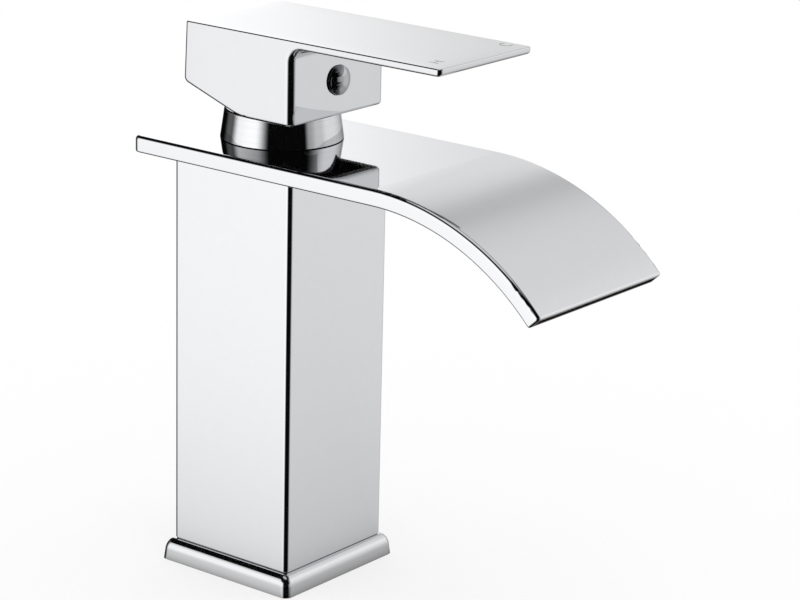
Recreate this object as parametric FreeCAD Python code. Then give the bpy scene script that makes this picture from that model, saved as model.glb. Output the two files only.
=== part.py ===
import FreeCAD, Part
import math
import os

# Single-lever waterfall basin faucet, in millimetres. The origin is the centre of the base on the deck.
# +Z is up, the spout and the lever point towards -Y, and the hot side is -X.

Vector = FreeCAD.Vector

# ---- Driving dimensions: what shows --------------------------------------------------------------
column_side = 45.0          # square column, across its faces
column_corner = 1.55        # radius of its upright edges
foot_round = 0.7            # rounding at the foot of the column
flange_height = 6.4         # moulded base flange
flange_reach = 2.9          # how far it stands out from the column
flange_draft = 6.0          # degrees, lean of its lower side
shoulder_lower = 4.7        # radii of the two arcs of its shoulder
shoulder_upper = 2.4
shoulder_change = 35.0      # degrees, slope at which one arc passes into the other
flange_corner = 2.4         # rounding of its upright corners
plate_top = 133.0           # top of the spout plate above the deck
plate_thickness = 5.0
plate_half_width = 29.6
plate_back = 32.6           # back end of the plate behind the column's axis
plate_corner = 2.2          # radius of its back corners, seen from above
plate_top_round = 1.2
plate_bottom_round = 0.65
flat_reach = 58.0           # where the plate starts to bend down
bend_radius = 80.0          # radius of its top surface
spout_reach = 116.5         # tip of the plate in front of the column's axis
lip_round = 0.7             # all round the end face
bonnet_foot_radius = 18.35
bonnet_top_radius = 17.1
bonnet_height = 9.0
bonnet_foot_gap = 0.25      # line of shadow between its foot and the plate
bonnet_round = 0.8
handle_gap = 0.55           # between the bonnet and the handle
handle_half_width = 21.3
handle_height = 25.45
handle_front = 21.2         # front face of the block
handle_back_top = 19.3      # back face, at the top and at the bottom
handle_back_bottom = 20.1
chamfer_angle = 18.76       # degrees, slope of the underside's back half
chamfer_start = 1.8         # where the slope starts, in front of the axis
chamfer_blend = 20.0
handle_back_round = 2.0
lever_reach = 74.5
lever_thickness = 2.3
lever_fillet = 4.0          # under the lever, at the block
block_edge_round = 2.2      # upright front edges of the block
lever_edge_round = 0.9      # lower edges of the lever
handle_back_edge_round = 1.1
lever_tip_corner = 1.5
handle_top_round = 0.45
plug_height = 10.7          # plug's axis above the underside of the handle
plug_radius = 4.35
plug_crown = 2.65           # proud of the block's face
plug_wall = 0.9             # upright part of that, under its dome
plug_edge_round = 0.25
plug_rim = 0.22             # rounded mouth of its hole

# ---- Driving dimensions: inside ------------------------------------------------------------------
column_wall = 3.0
hollow_corner = 1.5
spigot_step = 1.0           # the foot's spigot is this much smaller all round
spigot_lift = 0.8           # clear of the deck
fit_gap = 0.1               # between fixed pieces that slide together
gasket_inset = 1.0          # from the flange's outer side
gasket_width = 2.1
gasket_height = 1.8
valve_block_height = 44.0   # solid top of the column that holds the waterways
hose_socket_radius = 4.5    # tapping size of the M10 x 1 hose ends
hose_socket_depth = 10.0
hose_socket_spread = 8.2
hose_socket_front = 4.4
stud_hole_radius = 3.4      # tapping size of the M8 mounting stud
stud_hole_back = 13.8
stud_lug_height = 13.0
stud_lug_wall = 4.6
neck_outer_radius = 16.0
neck_thread_radius = 14.0
neck_height = 4.0           # above the plate
seat_bore_radius = 2.2
seat_bore_spread = 5.6
port_front = 4.3
outlet_back = 5.0
outlet_bore_radius = 2.6
riser_half_width = 12.0     # flat waterway up the front wall
riser_depth = 2.8
riser_wall = 1.9
crossway_half_width = 2.2
crossway_height = 5.5
crossway_floor = 1.5        # above the hose sockets' roof
chute_wall = 1.4            # walls of the hollow spout plate
comb_setback = 8.0          # flow straightener, behind the lip
comb_length = 9.0
comb_web = 0.5
comb_rib = 1.0
comb_ribs = 12
comb_gap = 0.05

cartridge_radius = 12.5     # 25 mm cartridge
cartridge_height = 22.0     # chamber floor to the housing's shoulder
shoulder_depth = 7.0        # shoulder below the plate's top
shoulder_radius = 13.6
shoulder_thickness = 3.0
housing_bore = 11.0
housing_roof = 4.5          # bore's roof below the shoulder
housing_neck_radius = 10.2
housing_neck_height = 10.2
neck_bore = 9.05
ring_height = 1.9           # groove of the housing's O-ring
ring_depth = 1.4
ring_play = 0.02            # all round, so that it only just clears its seats
ring_below_shoulder = 1.1
nut_hex = 24.0              # across flats
nut_thread_play = 0.05
nut_hex_height = 2.8
nut_proud = 0.4             # thread above the neck
nut_bore = 10.5
bonnet_wall_relief = 15.3
bonnet_thread_height = 4.3
bonnet_roof = 1.5
bonnet_hole = 11.0
bonnet_ring_radius = 17.15
bonnet_ring_section = 0.45
base_lift = 0.3             # cartridge base above the chamber floor
base_rim = 2.3
base_spigot = 1.9
spigot_play = 0.05
seal_height = 1.5
port_spread = 4.9
port_radius = 1.9
port_seal_width = 1.2
port_overlap = 0.3          # height that the wide and narrow ends of a port share
disc_port_spread = 3.3
disc_port_front = 3.6
disc_port_radius = 1.6
disc_outlet_back = 3.2
disc_outlet_radius = 2.4
disc_seal_width = 1.0
disc_seal_height = 1.1
locating_pin_radius = 1.2
locating_pin_height = 2.1
locating_pin_spread = 9.3
fixed_disc_radius = 10.7
disc_thickness = 2.3
moving_disc_radius = 8.4
moving_disc_thickness = 2.2
disc_film = 0.02            # running gap between the lapped faces
recess_depth = 1.3
recess_half_width = 5.2
recess_front = 4.0
recess_back = 5.3
recess_corner = 1.5
carrier_radius = 8.6
carrier_plate = 2.4
carrier_boss = 2.0
carrier_flat = 6.8
carrier_peg_radius = 0.8
carrier_peg_height = 0.8
carrier_peg_spread = 6.6
carrier_floor = 0.8
ball_radius = 2.5
ball_play = 0.1
rotor_gap = 0.2
rotor_play = 0.05
rotor_flange_height = 3.8
rotor_top_below_housing = 0.8
rotor_ring_section = 0.55
rotor_ring_groove = 1.5
rotor_ring_up = 1.1
rail_width = 1.5
rail_half_length = 4.0
rail_height = 2.0
pivot_above_shoulder = 5.0
pin_radius = 1.25
pin_press = 0.02
pin_play = 0.05
pin_end_gap = 0.2
stem_half = 4.0             # square stem, 8 mm across
stem_knuckle = 4.5
stem_arm_radius = 2.0
stem_reach = 29.0           # stem above its pivot
stem_play = 0.08
lift_angle = 18.0           # degrees, travel of the lever
slot_play = 0.2
handle_wall = 3.0
handle_roof = 3.5
cavity_corner = 2.0
socket_wall = 3.0
socket_play = 0.05
socket_head_gap = 0.3
boss_bottom = 6.5           # stem boss above the underside
screw_radius = 2.1          # M5 grub screw, at its tapping size
screw_length = 10.0
screw_play = 0.02
screw_hex = 2.5
screw_hex_depth = 2.5
screw_boss_radius = 4.6
plug_depth = 3.0
plug_play = 0.03

# ---- Heights and places worked out from them -----------------------------------------------------
column_half = column_side / 2
flange_half = column_half + flange_reach
spigot_half = column_half - spigot_step
hollow_half = column_half - column_wall
plate_bottom = plate_top - plate_thickness
bend_angle = math.asin((spout_reach - flat_reach) / bend_radius)
block_bottom = plate_bottom - valve_block_height
socket_roof = block_bottom + hose_socket_depth
neck_top = plate_top + neck_height
shoulder_z = plate_top - shoulder_depth
seat_z = shoulder_z - cartridge_height
chamber_radius = cartridge_radius + fit_gap
neck_hole_radius = neck_outer_radius + fit_gap / 2
riser_front = column_half - riser_wall
riser_back = riser_front - riser_depth
crossway_bottom = socket_roof + crossway_floor
base_bottom = seat_z + base_lift
base_rim_top = base_bottom + base_rim
base_top = base_rim_top + base_spigot
fixed_disc_top = base_top + disc_thickness
moving_disc_bottom = fixed_disc_top + disc_film
moving_disc_top = moving_disc_bottom + moving_disc_thickness
carrier_top = moving_disc_top + carrier_plate + carrier_boss
rotor_bottom = carrier_top + rotor_gap
rotor_flange_top = rotor_bottom + rotor_flange_height
roof_z = shoulder_z - housing_roof
housing_top = shoulder_z + shoulder_thickness + housing_neck_height
rotor_top = housing_top - rotor_top_below_housing
rotor_radius = neck_bore - rotor_play
pivot_z = shoulder_z + pivot_above_shoulder
ball_z = moving_disc_top + carrier_floor + ball_play + ball_radius
arm_length = pivot_z - ball_z
lift = math.radians(lift_angle)
disc_travel = arm_length * math.sin(lift)
disc_offset = disc_travel / 2
stem_top = pivot_z + stem_reach
bonnet_top = plate_top + bonnet_height
handle_bottom = bonnet_top + handle_gap
handle_top = handle_bottom + handle_height
lever_bottom = handle_top - lever_thickness
plug_z = handle_bottom + plug_height
far = 200.0                 # longer than any piece, for cutting tools
past = 1.0                  # how far a cutting tool runs past a face
close = 0.001               # how closely an edge's place is matched when it is picked


# ---- Shapes used by more than one piece ----------------------------------------------------------
def cylinder(radius, bottom, top, x=0.0, y=0.0):
    """Upright cylinder between two heights."""
    return Part.makeCylinder(radius, top - bottom, Vector(x, y, bottom))


def block(x0, x1, y0, y1, z0, z1):
    """Plain block between two corners."""
    return Part.makeBox(x1 - x0, y1 - y0, z1 - z0, Vector(x0, y0, z0))


def square_post(half, corner, bottom, top):
    """Square post round the Z axis with rounded upright edges."""
    post = block(-half, half, -half, half, bottom, top)
    upright = [edge for edge in post.Edges if edge.BoundBox.ZLength > top - bottom - close]
    return post.makeFillet(corner, upright)


def rounded_wire(points):
    """Closed wire in the YZ plane through points (y, z, radius), each corner rounded by its radius."""
    starts = []
    ends = []
    arcs = []
    count = len(points)
    for index, (y, z, radius) in enumerate(points):
        corner = Vector(0, y, z)
        back = (Vector(0, *points[index - 1][:2]) - corner).normalize()
        onward = (Vector(0, *points[(index + 1) % count][:2]) - corner).normalize()
        if radius == 0:
            starts.append(corner)
            ends.append(corner)
            continue
        half = back.getAngle(onward) / 2
        tangent = radius / math.tan(half)
        centre = corner + (back + onward).normalize() * (radius / math.sin(half))
        middle = centre + (corner - centre).normalize() * radius
        starts.append(corner + back * tangent)
        ends.append(corner + onward * tangent)
        arcs.append(Part.Arc(starts[-1], middle, ends[-1]).toShape())
    lines = [Part.LineSegment(ends[i], starts[(i + 1) % count]).toShape() for i in range(count)]
    return Part.Wire(Part.__sortEdges__(arcs + lines))


def across(face, half_width):
    """Section in the YZ plane carried across from -half_width to +half_width."""
    solid = face.extrude(Vector(2 * half_width, 0, 0))
    solid.translate(Vector(-half_width, 0, 0))
    return solid


def turned(points):
    """Solid turned round the Z axis from a closed outline of (radius, height) points."""
    outline = [Vector(radius, 0, z) for radius, z in points]
    face = Part.Face(Part.makePolygon(outline + outline[:1]))
    return face.revolve(Vector(0, 0, 0), Vector(0, 0, 1), 360)


def ring(centre_radius, section, z):
    """O-ring lying flat, its round section drawn with eight flats."""
    flat_count = 8
    angles = [math.radians(360 * (index + 0.5) / flat_count) for index in range(flat_count)]
    corner = section / math.cos(math.pi / flat_count)
    outline = [(centre_radius + corner * math.cos(angle), z + corner * math.sin(angle)) for angle in angles]
    return turned(outline)


def sleeve(outer, inner, bottom, top, x=0.0, y=0.0):
    """Flat washer or sleeve between two heights."""
    return cylinder(outer, bottom, top, x, y).cut(cylinder(inner, bottom - past, top + past, x, y))


def plate_point(depth, angle):
    """Point of the bend, a depth under the plate's top surface and an angle round it."""
    radius = bend_radius - depth
    height = plate_top - bend_radius + radius * math.cos(angle)
    return Vector(0, -flat_reach - radius * math.sin(angle), height)


def bend_arc(depth, start, end):
    """Arc of the bend at one depth."""
    middle = (start + end) / 2
    return Part.Arc(plate_point(depth, start), plate_point(depth, middle), plate_point(depth, end)).toShape()


def line(start, end):
    """Straight edge."""
    return Part.LineSegment(start, end).toShape()


def bend_section(upper, lower, start, end):
    """Face between two depths and two angles of the bend."""
    edges = [bend_arc(upper, start, end), line(plate_point(upper, end), plate_point(lower, end))]
    edges += [bend_arc(lower, end, start), line(plate_point(lower, start), plate_point(upper, start))]
    return Part.Face(Part.Wire(edges))


def plate_section(upper, lower, back, end):
    """Face between two depths of the plate, from its flat back end at y = back to an angle of the bend."""
    upper_back = Vector(0, back, plate_top - upper)
    lower_back = Vector(0, back, plate_top - lower)
    edges = [line(upper_back, plate_point(upper, 0)), bend_arc(upper, 0, end)]
    edges += [line(plate_point(upper, end), plate_point(lower, end)), bend_arc(lower, end, 0)]
    edges += [line(plate_point(lower, 0), lower_back), line(lower_back, upper_back)]
    return Part.Face(Part.Wire(edges))


def mirrored_pair(shape):
    """A shape and its mirror image across the YZ plane."""
    return [shape, shape.mirror(Vector(0, 0, 0), Vector(1, 0, 0))]


# ---- Column, flange and gasket -------------------------------------------------------------------
def make_column():
    """Hollow square casting: spigot foot, valve block with its waterways, and the threaded neck."""
    foot_z = flange_height
    post = square_post(column_half, column_corner, foot_z, plate_bottom)
    foot_edges = [edge for edge in post.Edges if edge.BoundBox.ZMax < foot_z + close]
    post = post.makeFillet(foot_round, foot_edges)
    spigot = square_post(spigot_half, column_corner, spigot_lift, foot_z + foot_round)
    body = post.fuse(spigot)
    body = body.cut(square_post(hollow_half, hollow_corner, -past, block_bottom))
    lug_half = stud_hole_radius + stud_lug_wall
    lug_front = stud_hole_back - lug_half
    lug_back = hollow_half + column_wall / 3
    lug_top = spigot_lift + stud_lug_height
    body = body.fuse(block(-lug_half, lug_half, lug_front, lug_back, spigot_lift, lug_top))
    body = body.fuse(cylinder(neck_outer_radius, plate_bottom - past, neck_top))
    tools = [cylinder(chamber_radius, seat_z, neck_top)]
    tools.append(cylinder(neck_thread_radius, shoulder_z, neck_top + past))
    tools.append(cylinder(stud_hole_radius, -past, lug_top + past, 0, stud_hole_back))
    socket_floor = block_bottom - past
    socket = cylinder(hose_socket_radius, socket_floor, socket_roof, hose_socket_spread, -hose_socket_front)
    seat_bore = cylinder(seat_bore_radius, socket_roof - past, seat_z + past, seat_bore_spread, -port_front)
    pin_hole_radius = locating_pin_radius + fit_gap
    pin_floor = base_bottom - locating_pin_height - fit_gap
    pin_hole = cylinder(pin_hole_radius, pin_floor, seat_z + past, locating_pin_spread, outlet_back)
    for hole in (socket, seat_bore, pin_hole):
        tools += mirrored_pair(hole)
    crossway_top = crossway_bottom + crossway_height
    tools.append(cylinder(outlet_bore_radius, crossway_bottom, seat_z + past, 0, outlet_back))
    tools.append(block(-crossway_half_width, crossway_half_width, -riser_front, outlet_back,
                       crossway_bottom, crossway_top))
    tools.append(block(-riser_half_width, riser_half_width, -riser_front, -riser_back,
                       crossway_bottom, plate_bottom + past))
    return body.cut(tools).removeSplitter()


def make_flange():
    """Square moulded flange: a leaning side and a two-arc shoulder, mitred and rounded at the corners."""
    lean = math.radians(90 - flange_draft)
    change = math.radians(90 - shoulder_change)
    lower_rise = shoulder_lower * (math.cos(change) - math.cos(lean))
    side_height = flange_height - lower_rise - shoulder_upper * (1 - math.cos(change))
    side_out = flange_half - side_height / math.tan(lean)
    lower_centre_x = side_out - shoulder_lower * math.sin(lean)
    lower_centre = Vector(lower_centre_x, 0, side_height - shoulder_lower * math.cos(lean))

    def on_arc(centre, radius, slope):
        return centre + Vector(radius * math.sin(slope), 0, radius * math.cos(slope))

    join = on_arc(lower_centre, shoulder_lower, change)
    upper_centre = join - Vector(shoulder_upper * math.sin(change), 0, shoulder_upper * math.cos(change))
    top = Vector(upper_centre.x, 0, flange_height)
    start = on_arc(lower_centre, shoulder_lower, lean)
    lower_middle = on_arc(lower_centre, shoulder_lower, (lean + change) / 2)
    upper_middle = on_arc(upper_centre, shoulder_upper, change / 2)
    inner_top = Vector(0, 0, flange_height)
    edges = [line(Vector(0, 0, 0), Vector(flange_half, 0, 0)), line(Vector(flange_half, 0, 0), start)]
    edges += [Part.Arc(start, lower_middle, join).toShape(), Part.Arc(join, upper_middle, top).toShape()]
    edges += [line(top, inner_top), line(inner_top, Vector(0, 0, 0))]
    half = Part.Face(Part.Wire(edges)).extrude(Vector(0, 2 * flange_half, 0))
    half.translate(Vector(0, -flange_half, 0))
    bar = half.fuse(half.mirror(Vector(0, 0, 0), Vector(1, 0, 0))).removeSplitter()
    crossed = bar.copy()
    crossed.rotate(Vector(0, 0, 0), Vector(0, 0, 1), 90)
    mitred = bar.common(crossed)
    hips = [edge for edge in mitred.Edges
            if edge.BoundBox.ZLength > close and edge.BoundBox.XLength > close]
    rounded = mitred.makeFillet(flange_corner, hips)
    hole = square_post(spigot_half + fit_gap, column_corner, -past, flange_height + past)
    groove_outer = flange_half - gasket_inset + fit_gap / 2
    groove_inner = flange_half - gasket_inset - gasket_width - fit_gap / 2
    groove = square_post(groove_outer, flange_corner, -past, gasket_height + fit_gap / 2)
    groove = groove.cut(square_post(groove_inner, column_corner, -2 * past, gasket_height + past))
    return rounded.cut([hole, groove])


def make_gasket():
    """Square rubber ring in the flange's groove, flush with its underside."""
    outer = square_post(flange_half - gasket_inset, flange_corner, 0, gasket_height)
    inner = square_post(flange_half - gasket_inset - gasket_width, column_corner, -past, gasket_height + past)
    return outer.cut(inner)


# ---- Waterfall spout -----------------------------------------------------------------------------
def make_spout():
    """Hollow plate: flat over the column, bent down to a slot as wide as the plate."""
    plate = across(plate_section(0, plate_thickness, plate_back, bend_angle), plate_half_width)
    corners = [edge for edge in plate.Edges
               if abs(edge.CenterOfMass.y - plate_back) < close and edge.BoundBox.XLength < close]
    plate = plate.makeFillet(plate_corner, corners)
    tip = plate_point(0, bend_angle)
    for height, radius in ((plate_top, plate_top_round), (plate_bottom, plate_bottom_round)):
        seed = [edge for edge in plate.Edges
                if abs(edge.CenterOfMass.y - plate_back) < close
                and abs(edge.CenterOfMass.z - height) < close]
        plate = plate.makeFillet(radius, seed)
    tip_edge = [edge for edge in plate.Edges
                if abs(edge.CenterOfMass.y - tip.y) < close and abs(edge.CenterOfMass.z - tip.z) < close]
    plate = plate.makeFillet(lip_round, tip_edge)
    open_end = bend_angle + past / bend_radius
    chute_section = plate_section(chute_wall, plate_thickness - chute_wall, -riser_back, open_end)
    chute = across(chute_section, plate_half_width - chute_wall)
    neck_hole = cylinder(neck_hole_radius, plate_bottom - past, plate_top + past)
    riser = block(-riser_half_width, riser_half_width, -riser_front, -riser_back, plate_bottom - past,
                  plate_bottom + chute_wall + past)
    return plate.cut([chute, neck_hole, riser])


def make_flow_straightener():
    """Comb that lies in the bend behind the lip: a thin web under the roof and ribs down to the floor."""
    channel_half = plate_half_width - chute_wall - comb_gap
    roof = chute_wall + comb_gap
    floor = plate_thickness - chute_wall - comb_gap
    end = bend_angle - comb_setback / bend_radius
    start = end - comb_length / bend_radius
    comb = across(bend_section(roof, roof + comb_web, start, end), channel_half)
    rib_section = bend_section(roof, floor, start, end)
    pitch = (2 * channel_half - comb_rib) / (comb_ribs - 1)
    ribs = []
    for index in range(comb_ribs):
        rib = rib_section.extrude(Vector(comb_rib, 0, 0))
        rib.translate(Vector(-channel_half + index * pitch, 0, 0))
        ribs.append(rib)
    return comb.fuse(ribs).removeSplitter()


# ---- Bonnet, nut and their ring ------------------------------------------------------------------
def make_bonnet():
    """Tapered cover screwed on the neck, with a groove for its ring in the foot."""
    foot = plate_top + bonnet_foot_gap
    relief_z = plate_top + bonnet_thread_height
    roof = bonnet_top - bonnet_roof
    outline = [(neck_hole_radius, foot), (bonnet_foot_radius, foot), (bonnet_top_radius, bonnet_top)]
    outline += [(bonnet_hole, bonnet_top), (bonnet_hole, roof), (bonnet_wall_relief, roof)]
    outline += [(bonnet_wall_relief, relief_z), (neck_hole_radius, relief_z)]
    bonnet = turned(outline)
    top_edge = [edge for edge in bonnet.Edges
                if edge.BoundBox.ZMin > bonnet_top - close and edge.BoundBox.XMax > bonnet_top_radius - close]
    bonnet = bonnet.makeFillet(bonnet_round, top_edge)
    groove_outer = bonnet_ring_radius + bonnet_ring_section + fit_gap / 2
    groove_inner = bonnet_ring_radius - bonnet_ring_section - fit_gap / 2
    groove_top = plate_top + 2 * bonnet_ring_section + ring_play
    return bonnet.cut(sleeve(groove_outer, groove_inner, plate_top - past, groove_top))


def make_bonnet_ring():
    """O-ring in the bonnet's foot, on the plate."""
    return ring(bonnet_ring_radius, bonnet_ring_section, plate_top + bonnet_ring_section)


def make_nut():
    """Brass nut: its thread in the neck presses on the cartridge's shoulder, and its hexagon stands above."""
    bottom = shoulder_z + shoulder_thickness
    thread_top = neck_top + nut_proud
    nut = cylinder(neck_thread_radius - nut_thread_play, bottom, thread_top)
    corner_radius = nut_hex / math.sqrt(3)
    turns = [math.radians(60 * index) for index in range(6)]
    corners = [Vector(corner_radius * math.cos(turn), corner_radius * math.sin(turn), thread_top)
               for turn in turns]
    hexagon = Part.Face(Part.makePolygon(corners + corners[:1])).extrude(Vector(0, 0, nut_hex_height))
    return nut.fuse(hexagon).cut(cylinder(nut_bore, bottom - past, thread_top + nut_hex_height + past))


# ---- Cartridge: fixed pieces ---------------------------------------------------------------------
def make_housing():
    """Plastic housing: barrel, shoulder and neck, with the groove of its O-ring."""
    neck_foot = shoulder_z + shoulder_thickness
    outline = [(housing_bore, base_rim_top), (cartridge_radius, base_rim_top), (cartridge_radius, shoulder_z)]
    outline += [(shoulder_radius, shoulder_z), (shoulder_radius, neck_foot), (housing_neck_radius, neck_foot)]
    outline += [(housing_neck_radius, housing_top), (neck_bore, housing_top), (neck_bore, roof_z)]
    outline += [(housing_bore, roof_z)]
    groove_top = shoulder_z - ring_below_shoulder
    groove = sleeve(far, cartridge_radius - ring_depth, groove_top - ring_height, groove_top)
    return turned(outline).cut(groove)


def make_housing_ring():
    """O-ring between the housing's groove and the chamber wall."""
    inner = cartridge_radius - ring_depth
    section = (chamber_radius - inner) / 2 - ring_play
    middle = shoulder_z - ring_below_shoulder - ring_height / 2
    return ring((chamber_radius + inner) / 2, section, middle)


def port_places():
    """Centre and radius of the three ports under the cartridge: hot, cold and outlet."""
    return [
        (-port_spread, -port_front, port_radius),
        (port_spread, -port_front, port_radius),
        (0.0, outlet_back, outlet_bore_radius),
    ]


def disc_port_places():
    """Centre and radius of the three ports under the fixed disc."""
    return [
        (-disc_port_spread, -disc_port_front, disc_port_radius),
        (disc_port_spread, -disc_port_front, disc_port_radius),
        (0.0, disc_outlet_back, disc_outlet_radius),
    ]


def make_base():
    """Bottom of the cartridge: ports that step inwards, seats for the seals and two locating pins."""
    base = cylinder(cartridge_radius, base_bottom, base_rim_top)
    base = base.fuse(cylinder(housing_bore - spigot_play, base_rim_top, base_top))
    pin_bottom = base_bottom - locating_pin_height
    pin = cylinder(locating_pin_radius, pin_bottom, base_bottom, locating_pin_spread, outlet_back)
    base = base.fuse(mirrored_pair(pin))
    tools = []
    for x, y, radius in port_places():
        seat_radius = radius + port_seal_width + fit_gap / 2
        tools.append(cylinder(radius, base_bottom - past, base_rim_top, x, y))
        tools.append(cylinder(seat_radius, base_bottom - past, seat_z + seal_height, x, y))
    for x, y, radius in disc_port_places():
        seat_radius = radius + disc_seal_width + fit_gap / 2
        tools.append(cylinder(radius, base_rim_top - port_overlap, base_top + past, x, y))
        tools.append(cylinder(seat_radius, base_top - disc_seal_height, base_top + past, x, y))
    return base.cut(tools).removeSplitter()


def make_port_seals():
    """Three rubber rings between the chamber floor and the base."""
    rings = [sleeve(radius + port_seal_width, radius, seat_z, seat_z + seal_height, x, y)
             for x, y, radius in port_places()]
    return Part.makeCompound(rings)


def make_disc_seals():
    """Three rubber rings between the base and the fixed disc."""
    rings = [sleeve(radius + disc_seal_width, radius, base_top - disc_seal_height, base_top, x, y)
             for x, y, radius in disc_port_places()]
    return Part.makeCompound(rings)


def make_fixed_disc():
    """Fixed ceramic disc with its three ports."""
    disc = cylinder(fixed_disc_radius, base_top, fixed_disc_top)
    ports = [cylinder(radius, base_top - past, fixed_disc_top + past, x, y)
             for x, y, radius in disc_port_places()]
    return disc.cut(ports)


# ---- Cartridge: moving pieces --------------------------------------------------------------------
def make_moving_disc():
    """Sliding ceramic disc: the recess in its underside joins the ports, two holes take the pegs."""
    disc = cylinder(moving_disc_radius, moving_disc_bottom, moving_disc_top, 0, disc_offset)
    recess = block(-recess_half_width, recess_half_width, disc_offset - recess_front,
                   disc_offset + recess_back, moving_disc_bottom - past, moving_disc_bottom + recess_depth)
    upright = [edge for edge in recess.Edges if edge.BoundBox.ZLength > past]
    recess = recess.makeFillet(recess_corner, upright)
    hole_radius = carrier_peg_radius + fit_gap / 2
    hole_floor = moving_disc_top - carrier_peg_height - fit_gap / 2
    hole = cylinder(hole_radius, hole_floor, moving_disc_top + past, carrier_peg_spread, disc_offset)
    return disc.cut([recess] + mirrored_pair(hole))


def make_carrier():
    """Plastic carrier: pegs in the disc, flats between the rotor's rails and a socket for the stem's ball."""
    plate_z = moving_disc_top + carrier_plate
    carrier = cylinder(carrier_radius, moving_disc_top, plate_z, 0, disc_offset)
    boss = cylinder(carrier_radius, plate_z, carrier_top, 0, disc_offset)
    boss = boss.common(block(-carrier_flat, carrier_flat, -far, far, plate_z, carrier_top))
    peg_bottom = moving_disc_top - carrier_peg_height
    peg = cylinder(carrier_peg_radius, peg_bottom, moving_disc_top, carrier_peg_spread, disc_offset)
    carrier = carrier.fuse([boss] + mirrored_pair(peg))
    half = ball_radius + ball_play
    return carrier.cut(block(-half, half, -half, half, moving_disc_top + carrier_floor, carrier_top + past))


def make_rotor():
    """Plastic rotor: flange under the housing's roof, slot for the stem, rails for the carrier."""
    rotor = cylinder(housing_bore - 2 * rotor_play, rotor_bottom, rotor_flange_top)
    rotor = rotor.fuse(cylinder(rotor_radius, rotor_bottom, rotor_top))
    rail_inner = carrier_flat + rotor_gap
    rail = block(rail_inner, rail_inner + rail_width, -rail_half_length, rail_half_length,
                 rotor_bottom - rail_height, rotor_bottom)
    rotor = rotor.fuse(mirrored_pair(rail))
    knuckle_bottom = pivot_z - stem_knuckle - slot_play
    tilt_back = stem_half / math.cos(lift) + (rotor_top - pivot_z) * math.tan(lift)
    upper_slot = block(-stem_half - stem_play, stem_half + stem_play, -stem_knuckle - slot_play,
                       tilt_back + slot_play, knuckle_bottom, rotor_top + past)
    lower_half = ball_radius + ball_play
    lower_slot = block(-lower_half, lower_half, -disc_travel - ball_radius - slot_play, lower_half,
                       rotor_bottom - rail_height - past, knuckle_bottom + past)
    pin_end = Vector(-far / 2, 0, pivot_z)
    pin_hole = Part.makeCylinder(pin_radius + pin_press, far, pin_end, Vector(1, 0, 0))
    groove_bottom = rotor_bottom + rotor_ring_up
    groove_radius = housing_bore - 2 * rotor_ring_section - rotor_play
    groove = sleeve(far, groove_radius, groove_bottom, groove_bottom + rotor_ring_groove)
    return rotor.cut([upper_slot, lower_slot, pin_hole, groove]).removeSplitter()


def make_rotor_ring():
    """O-ring in the rotor's groove."""
    middle = rotor_bottom + rotor_ring_up + rotor_ring_groove / 2
    return ring(housing_bore - rotor_ring_section - rotor_play / 2, rotor_ring_section, middle)


def make_pin():
    """Steel pin across the rotor, held in by the housing's neck."""
    half = rotor_radius - pin_end_gap
    return Part.makeCylinder(pin_radius, 2 * half, Vector(-half, 0, pivot_z), Vector(1, 0, 0))


def make_stem():
    """Square stem with a round knuckle on the pin, and an arm whose ball drives the carrier."""
    stem = block(-stem_half, stem_half, -stem_half, stem_half, pivot_z, stem_top)
    knuckle_end = Vector(-stem_half, 0, pivot_z)
    knuckle = Part.makeCylinder(stem_knuckle, 2 * stem_half, knuckle_end, Vector(1, 0, 0))
    ball = Part.makeSphere(ball_radius, Vector(0, 0, ball_z))
    stem = stem.fuse([knuckle, cylinder(stem_arm_radius, ball_z, pivot_z), ball])
    bore = Part.makeCylinder(pin_radius + pin_play, far, Vector(-far / 2, 0, pivot_z), Vector(1, 0, 0))
    return stem.cut(bore).removeSplitter()


# ---- Handle and its screw ------------------------------------------------------------------------
def handle_body():
    """Outside of the handle: block and lever from one side profile, with its edges rounded."""
    slope = math.tan(math.radians(chamfer_angle))
    back_bottom = handle_bottom + (handle_back_bottom + chamfer_start) * slope
    outline = [(handle_back_top, handle_top, 0), (handle_back_bottom, back_bottom, handle_back_round)]
    outline += [(-chamfer_start, handle_bottom, chamfer_blend), (-handle_front, handle_bottom, 0)]
    outline += [(-handle_front, lever_bottom, lever_fillet), (-lever_reach, lever_bottom, 0)]
    outline += [(-lever_reach, handle_top, 0)]
    body = across(Part.Face(rounded_wire(outline)), handle_half_width)
    document = FreeCAD.newDocument("handle")
    raw = document.addObject("Part::Feature", "raw")
    raw.Shape = body
    radii = []
    for number, edge in enumerate(body.Edges, 1):
        box = edge.BoundBox
        if box.XLength > close:
            continue
        if abs(box.YMin + handle_front) < close and abs(box.YMax + handle_front) < close:
            radii.append((number, block_edge_round, block_edge_round))
        elif abs(box.YMax + handle_front) < close and box.ZLength > lever_fillet - close:
            radii.append((number, block_edge_round, lever_edge_round))
        elif box.YMax < -handle_front and abs(box.ZMax - lever_bottom) < close:
            radii.append((number, lever_edge_round, lever_edge_round))
    rounded = document.addObject("Part::Fillet", "rounded")
    rounded.Base = raw
    rounded.Edges = radii
    document.recompute()
    body = rounded.Shape.copy()
    FreeCAD.closeDocument(document.Name)
    tips = [edge for edge in body.Edges
            if abs(edge.CenterOfMass.y + lever_reach) < close and edge.BoundBox.XLength < close]
    body = body.makeFillet(lever_tip_corner, tips)
    backs = [edge for edge in body.Edges
             if edge.BoundBox.XLength < close and edge.CenterOfMass.y > handle_back_top - close
             and edge.BoundBox.ZMax > handle_top - close]
    body = body.makeFillet(handle_back_edge_round, backs)
    rims = [edge for edge in body.Edges if edge.BoundBox.ZMin > handle_top - close]
    return body.makeFillet(handle_top_round, rims)


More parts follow.
